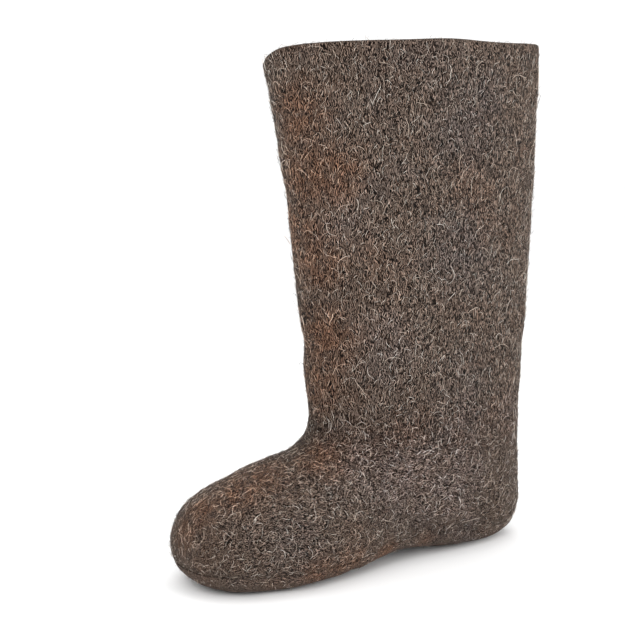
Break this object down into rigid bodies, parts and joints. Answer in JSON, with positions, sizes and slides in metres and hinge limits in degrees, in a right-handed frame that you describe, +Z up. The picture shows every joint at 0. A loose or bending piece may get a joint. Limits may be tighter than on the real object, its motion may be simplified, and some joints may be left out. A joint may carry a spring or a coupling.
{
  "type": "felt boot",
  "caption": "Tall hollow boot of thick felt: rounded toe, deep shaft open at the top, felt sole closing it underneath and a loose felt insole. It stands on heel and forefoot.",
  "frame": {"origin": "the middle of the bounding box, on the floor under the sole", "axes": "+Z up along the shaft, -Y towards the toe, +X across the boot"},
  "size_m": [0.1168, 0.3084, 0.375],
  "materials": {
    "felt": "fulled wool felt with a dense short nap and loose curly hairs, brown mixed with grey and rust",
    "sole_felt": "dense wool felt, brown, a little greyer and barer than the upper",
    "insole_felt": "grey needled wool felt"
  },
  "bodies": {
    "root": {"upper": "felt", "sole": "sole_felt", "insole": "insole_felt"}
  },
  "joints": []
}
